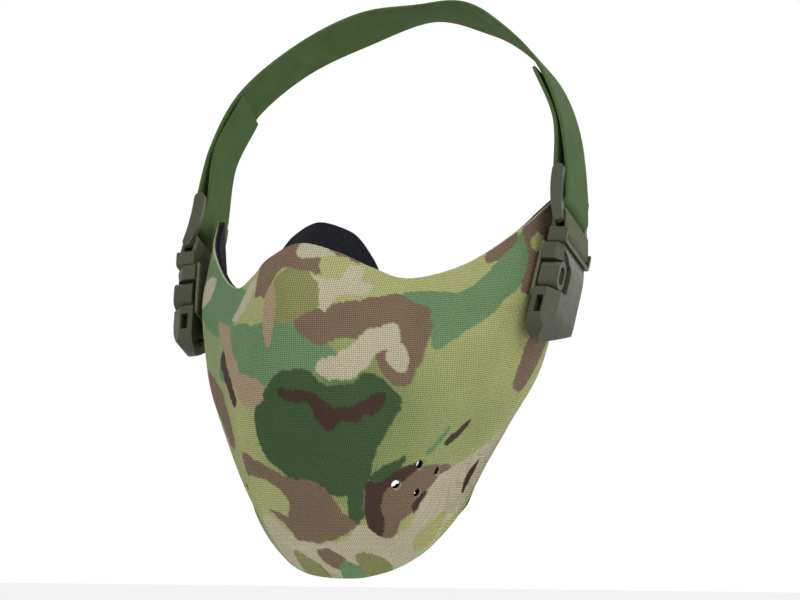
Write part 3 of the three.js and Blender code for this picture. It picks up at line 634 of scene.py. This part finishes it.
def punch(points, quads, radius):
    """Opens the holes in a surface and rounds their rims."""
    for centre, axis in air_holes():
        offset = points - centre
        depth = offset @ axis
        flat = offset - depth[:, None] * axis
        distance = np.linalg.norm(flat, axis=1)
        near = (np.abs(depth) < 8) & (distance < radius)
        quads = quads[~near[quads].any(axis=1)]
        ring = np.unique(quads)
        ring = ring[(np.abs(depth[ring]) < 8) & (distance[ring] < radius * 1.45)]
        edges = np.concatenate([quads[:, [i, (i + 1) % 4]] for i in range(4)])
        key = np.minimum(edges[:, 0], edges[:, 1]) * len(points) + np.maximum(edges[:, 0], edges[:, 1])
        _, first, repeats = np.unique(key, return_index=True, return_counts=True)
        rim = np.intersect1d(np.unique(edges[first[repeats == 1]]), ring)
        points[rim] += flat[rim] * (radius / distance[rim] - 1)[:, None]
    return points, quads


def build_shell():
    columns, rows = ((461, 241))
    grid, normals, across, down, uv = shell_grid(columns, rows)
    normals = normals.reshape(-1, 3)
    quads = grid_quads(rows, columns)
    points, opened = punch(grid.reshape(-1, 3).copy(), quads, AIR_HOLE_RADIUS + RIM_ROUNDING)
    skin_points, skin_faces, source = thicken(points, normals, opened, 0.0, -SKIN_THICKNESS, RIM_ROUNDING)
    skin = mesh_object("camo_skin", skin_points, skin_faces, uv[source])
    colours = print_colours(across, down, (2 / columns, 1 / rows))[source]
    count = len(np.unique(opened))
    rim_count = (len(skin_points) - 2 * count) // 3
    colours[count:2 * count] = CORE_COLOUR
    cut_edge = slice(2 * count, 2 * count + rim_count)
    colours[cut_edge] = colours[cut_edge] * 0.4 + THREAD_COLOUR * 0.6
    colours[2 * count + rim_count:] = CORE_COLOUR
    layer = skin.data.color_attributes.new("camo", "FLOAT_COLOR", "POINT")
    layer.data.foreach_set("color", colours.astype(np.float32).ravel())
    skin.data.materials.append(camo_material())
    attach(skin, "mask")
    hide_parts("camo_cover", "shell_core")

    step = 2
    coarse = np.arange(rows * columns).reshape(rows, columns)[::step, ::step]
    lining_points = grid.reshape(-1, 3)[coarse.ravel()]
    lining_normals = normals[coarse.ravel()]
    lining_quads = grid_quads(*coarse.shape)
    lining_points, lining_quads = punch(lining_points.copy(), lining_quads, AIR_HOLE_RADIUS + RIM_ROUNDING)
    made, faces, source = thicken(lining_points, lining_normals, lining_quads, LINING_LEVEL,
                                  LINING_LEVEL - LINING_THICKNESS, 0.3)
    lining = mesh_object("black_lining", made, faces, uv[coarse.ravel()][source])
    lining.data.materials.append(black_cloth_material("black_lining_cloth", 0.5))
    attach(lining, "mask")
    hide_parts("inner_lining")


def build_nose_pad():
    rows, columns = 40, 120
    s = np.linspace(-1, 1, columns)
    t = np.linspace(0, 1, rows)
    across = 0.9 * s * PAD_REACH * (1 + 0.12 * s * s)
    down = 0.012 + 0.15 * t
    plain = shell_surface(across, down)
    grid = plain + grid_normals(plain) * (INNER_LEVEL - PAD_GLUE)
    crown = (1 - s ** 4)[None, :]
    rise = (1 - t)[:, None]
    grid[..., 1] += PAD_LIFT * rise ** 1.4 * crown
    grid[..., 2] += PAD_RISE * rise ** 1.6 * crown
    normals = grid_normals(grid)
    plump = 0.5 * np.sin(math.pi * t)[:, None] * np.sin(math.pi * (s + 1) / 2)[None, :]
    grid += normals * plump[..., None]
    u = s[None, :] * 27 * np.ones((rows, 1))
    v = t[:, None] * 24 * np.ones((1, columns))
    uv = np.stack([u.ravel(), v.ravel()], axis=1)
    made, faces, source = thicken(grid.reshape(-1, 3), normals.reshape(-1, 3), grid_quads(rows, columns),
                                  0, -PAD_THICKNESS, 1.2)
    pad = mesh_object("nose_foam_pad", made, faces, uv[source])
    pad.data.materials.append(black_cloth_material("nose_pad_cloth", 0.4))
    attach(pad, "mask")
    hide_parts("nose_pad")


# ---------------------------------------------------------------------------
# Buckles
# ---------------------------------------------------------------------------
def buckle_frame():
    """The left buckle's origin and axes in millimetres, from its two prong hinges."""
    joints = {j["name"]: j for j in frame["joints"]}
    front = np.array(joints["left_front_squeeze"]["pos_m"]) / MM
    rear = np.array(joints["left_rear_squeeze"]["pos_m"]) / MM
    z = unit(joints["left_front_squeeze"]["axis"])
    x = unit(rear - front)
    y = np.cross(z, x)
    hinge_y, hinge_z = SOCKET_TOP - PRONG_THICKNESS / 2, 5
    origin = (front + rear) / 2 - y * hinge_y - z * hinge_z
    return origin, np.array([x, y, z])


def moulded(side, node, piece, body, material, width=0.45):
    """A moulded part: the CAD node's own shape with its edges rounded."""
    name = f"{side}_{node}"
    source = frame["nodes"][name]
    mesh = source.data.copy()
    obj = bpy.data.objects.new(f"{side}_{piece}", mesh)
    bpy.context.scene.collection.objects.link(obj)
    mesh.materials.clear()
    mesh.materials.append(material)
    import bmesh
    bm = bmesh.new()
    bm.from_mesh(mesh)
    bmesh.ops.remove_doubles(bm, verts=bm.verts, dist=2e-5)
    bmesh.ops.dissolve_limit(bm, angle_limit=math.radians(2), verts=bm.verts, edges=bm.edges)
    bm.to_mesh(mesh)
    bm.free()
    mesh.shade_smooth()
    bevel = obj.modifiers.new("rounded edges", "BEVEL")
    bevel.width = width * MM
    bevel.segments = 3
    bevel.limit_method = "ANGLE"
    bevel.angle_limit = math.radians(28)
    bevel.use_clamp_overlap = True
    bevel.miter_outer = "MITER_ARC"
    normals = obj.modifiers.new("even shading", "WEIGHTED_NORMAL")
    normals.keep_sharp = False
    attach(obj, body)
    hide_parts(name)
    return obj


def build_buckles(plastic, metal):
    for side in ("left", "right"):
        moulded(side, "buckle_socket", "socket_moulding", "mask", plastic, 0.7)
        moulded(side, "buckle_clip", "clip_moulding", "mask", plastic, 0.45)
        moulded(side, "strap_adjuster", "adjuster_moulding", "mask", plastic, 0.6)
        for which in ("front", "rear"):
            name = f"{which}_prong_moulding"
            moulded(side, f"{which}_release_prong", name, f"{side}_{which}_prong", plastic, 0.5)
        for node in ("upper_rivet", "lower_rivet", "upper_washer", "lower_washer"):
            data = frame["nodes"][f"{side}_{node}"].data
            data.materials.clear()
            data.materials.append(metal)


# ---------------------------------------------------------------------------
# Webbing and strap
# ---------------------------------------------------------------------------
def tape(line, sides, width, thickness, cross=14):
    """A flat tape along a line, with soft edges. Returns points, faces and UVs."""
    line, sides = np.asarray(line), unit(sides)
    along = unit(np.gradient(line, axis=0))
    out = unit(np.cross(sides, along))
    shares = np.linspace(-0.5, 0.5, cross + 1)
    grid = line[:, None] + sides[:, None] * (shares * width)[None, :, None]
    length = np.concatenate([[0], np.cumsum(np.linalg.norm(np.diff(line, axis=0), axis=1))])
    uv = np.stack([np.tile(shares * width, len(line)), np.repeat(length, cross + 1)], axis=1)
    normals = np.repeat(out[:, None], cross + 1, axis=1)
    quads = grid_quads(len(line), cross + 1)
    half = thickness / 2
    made, faces, source = thicken(grid.reshape(-1, 3), normals.reshape(-1, 3), quads, half, -half, 0.3)
    return made, faces, uv[source]


def over_head():
    points = np.array(OVER_HEAD, float)
    found = []
    for k, point in enumerate(points):
        after = points[min(k + 1, len(points) - 1)]
        before = points[max(k - 1, 0)]
        side = unit(np.cross(after - before, point - HEAD_CENTRE))
        found.append((point, side if k < len(points) - 1 else np.array([0, 1, 0])))
    return found


def strap_line(place, width_way):
    """The strap's line and width directions, from one tail's end over the head to the other."""
    over = over_head()
    tail = []
    for point, side in over[1::-1]:
        out = point - np.array(HEAD_CENTRE)
        out = unit(out - side * (out @ side))
        tail.append((point - out * (STRAP_THICKNESS + 0.9), side))
    turn_radius = BAR_GAP_RADIUS + STRAP_THICKNESS / 2
    beside = [UPPER_BAR_Y + 3, UPPER_BAR_Y - 3]
    turn = []
    for k in range(7):
        angle = k / 6 * math.pi
        y, z = MIDDLE_BAR_Y - turn_radius * math.sin(angle), -turn_radius * math.cos(angle)
        turn.append((place(y, z), width_way))
    left = tail + [(place(y, -turn_radius), width_way) for y in beside] + turn
    left += [(place(y, turn_radius), width_way) for y in beside[::-1]] + over
    flip = np.array([-1, 1, 1])
    return left + [(p * flip, s * flip) for p, s in left[-2::-1]]


def adjuster_place(origin, axes):
    """Places a point of the adjuster's tilted frame, given by its Y and Z, in the mask's frame."""
    tilt = -ADJUSTER_TILT
    bar_y, bar_z = CLIP_BAR

    def place(y, z, x=0.0):
        turned_y = y * math.cos(tilt) - z * math.sin(tilt) + bar_y
        turned_z = y * math.sin(tilt) + z * math.cos(tilt) + bar_z
        return origin + np.array([x, turned_y, turned_z]) @ axes
    return place


def build_strap(elastic, webbing, thread):
    origin, axes = buckle_frame()
    place = adjuster_place(origin, axes)
    entries = strap_line(place, axes[0])
    count = 14 * (len(entries) - 1) + 1
    shares = np.linspace(0, 1, count)
    line = centripetal([p for p, _ in entries], shares)
    sides = catmull([s for _, s in entries], shares)
    points, faces, uv = tape(line, sides, STRAP_WIDTH, STRAP_THICKNESS)
    strap = mesh_object("elastic_head_strap", points, faces, uv)
    strap.data.materials.append(elastic)
    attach(strap, "mask")
    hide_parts("head_strap")

    for side in ("left", "right"):
        loop_radius = BAR_GAP_RADIUS + 0.75
        path = []
        for k in range(25):
            angle = -math.pi / 2 + math.pi * k / 24
            path.append(place(LOWER_BAR_Y + loop_radius * math.cos(angle), loop_radius * math.sin(angle)))
        for k in range(25):
            angle = math.pi / 2 + math.pi * k / 24
            path.append(place(loop_radius * math.cos(angle), loop_radius * math.sin(angle)))
        path.append(path[0])
        steps = [np.linspace(a, b, 3, endpoint=False) for a, b in zip(path[:-1], path[1:])]
        dense = np.concatenate(steps + [[path[0]]])
        points, faces, uv = tape(dense, np.tile(axes[0], (len(dense), 1)), STRAP_WIDTH, 1.5)
        add_tape(side, "webbing_band", "webbing_loop", points, faces, uv, webbing)

        low, high = SOCKET_TOP + 1 - STRAP_WIDTH, SOCKET_TOP + 1
        x = np.linspace(-13, 24, 60)
        middle = [origin + np.array([value, (low + high) / 2, -1.05]) @ axes for value in x]
        points, faces, uv = tape(middle, np.tile(axes[1], (len(x), 1)), STRAP_WIDTH, 1.4)
        add_tape(side, "anchor_tape", "anchor_webbing", points, faces, uv, webbing)
    build_stitches(thread)


def add_tape(side, name, node, points, faces, uv, material):
    if side == "right":
        points, faces = mirrored(points, faces)
    obj = mesh_object(f"{side}_{name}", points, faces, uv)
    obj.data.materials.append(material)
    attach(obj, "mask")
    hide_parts(f"{side}_{node}")


def build_stitches(thread):
    """A box of stitches where each tail is sewn to the strap."""
    over = over_head()
    point, side = over[1]
    lower = over[0][0]
    along = unit(point - lower)
    out = unit(np.cross(side, along))
    if out @ (point - np.array(HEAD_CENTRE)) < 0:
        out = -out
    for name, flip in (("left", 1), ("right", -1)):
        points, faces = [], []
        for row in range(3):
            for k in range(9):
                centre = point - along * (3 + STITCH_SPACING * row) + side * (k - 4) * STITCH_SPACING
                centre = centre + out * (STRAP_THICKNESS / 2 + 0.05)
                for step in range(5):
                    lift = math.sin(math.pi * step / 4) * 0.28
                    middle = centre + side * (step / 4 - 0.5) * 1.7 + out * lift
                    for corner in range(6):
                        angle = corner / 6 * 2 * math.pi
                        points.append(middle + (along * math.cos(angle) + out * math.sin(angle)) * 0.22)
                base = len(points) - 30
                for step in range(4):
                    for corner in range(6):
                        a = base + step * 6 + corner
                        b = base + step * 6 + (corner + 1) % 6
                        faces.append((a, b, b + 6, a + 6))
                faces.append(tuple(base + c for c in range(5, -1, -1)))
                faces.append(tuple(base + 24 + c for c in range(6)))
        made = np.array(points)
        if flip < 0:
            made = made * np.array([-1, 1, 1])
            faces = [f[::-1] for f in faces]
        stitches = mesh_object(f"{name}_tail_stitches", made, faces)
        stitches.data.materials.append(thread)
        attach(stitches, "mask")


# ---------------------------------------------------------------------------
# Camera, light and floor
# ---------------------------------------------------------------------------
def build_camera():
    """Looks at the mask from in front of its left side, a little below."""
    level = math.cos(CAMERA_ELEVATION)
    sine, cosine = math.sin(CAMERA_AZIMUTH), math.cos(CAMERA_AZIMUTH)
    back = Vector((sine * level, -cosine * level, math.sin(CAMERA_ELEVATION)))
    right = Vector((cosine, sine, 0))
    up = back.cross(right)
    data = bpy.data.cameras.new("camera")
    data.sensor_width = CAMERA_SENSOR
    data.lens = CAMERA_LENS
    data.clip_start = 0.01
    camera = bpy.data.objects.new("camera", data)
    bpy.context.scene.collection.objects.link(camera)
    matrix = Matrix((right, up, back)).transposed().to_4x4()
    matrix.translation = back * CAMERA_DISTANCE - right * CAMERA_ASIDE - up * CAMERA_BELOW
    camera.matrix_world = matrix
    bpy.context.scene.camera = camera
    return right, up, back


def area_light(name, place, target, size, power):
    data = bpy.data.lights.new(name, "AREA")
    data.size = size
    data.energy = power
    light = bpy.data.objects.new(name, data)
    bpy.context.scene.collection.objects.link(light)
    light.location = place
    light.rotation_euler = (Vector(target) - Vector(place)).to_track_quat("-Z", "Y").to_euler()


def build_light_and_floor():
    right, up, back = build_camera()
    middle = Vector((0, 0.05, -0.02))
    area_light("key", middle + right * 0.5 + up * 0.8 + back * 0.7, middle, 0.7, 6)
    area_light("fill", middle - right * 0.9 + up * 0.2 + back * 0.8, middle, 1.2, 1)
    area_light("top", middle + up * 1.2 - back * 0.2, middle, 0.8, 3)
    area_light("rim", middle + right * 0.8 - back * 0.7 + up * 0.3, middle, 0.8, 2)
    world = bpy.data.worlds.new("studio")
    world.use_nodes = True
    background = world.node_tree.nodes["Background"]
    background.inputs["Color"].default_value = (1, 1, 1, 1)
    background.inputs["Strength"].default_value = 1.0
    bpy.context.scene.world = world
    low = CAD_BOX[0].z - 0.14
    reach = 4e3
    corners = np.array([(-reach, -reach, 0), (reach, -reach, 0), (reach, reach, 0), (-reach, reach, 0)])
    floor = mesh_object("floor", corners, [(0, 1, 2, 3)])
    floor.location.z = low
    floor.data.materials.append(floor_material())
    bpy.context.scene.view_settings.view_transform = "Standard"


# ---------------------------------------------------------------------------
build_light_and_floor()
plastic = plastic_material()
metal = metal_material()
elastic = webbing_material("green_elastic", srgb(38, 54, 28), srgb(82, 106, 60), 0.45, 0.7)
webbing = webbing_material("olive_webbing", srgb(40, 43, 30), srgb(100, 103, 80), 0.7, 1.0)
build_shell()
build_nose_pad()
build_buckles(plastic, metal)
build_strap(elastic, webbing, thread_material())
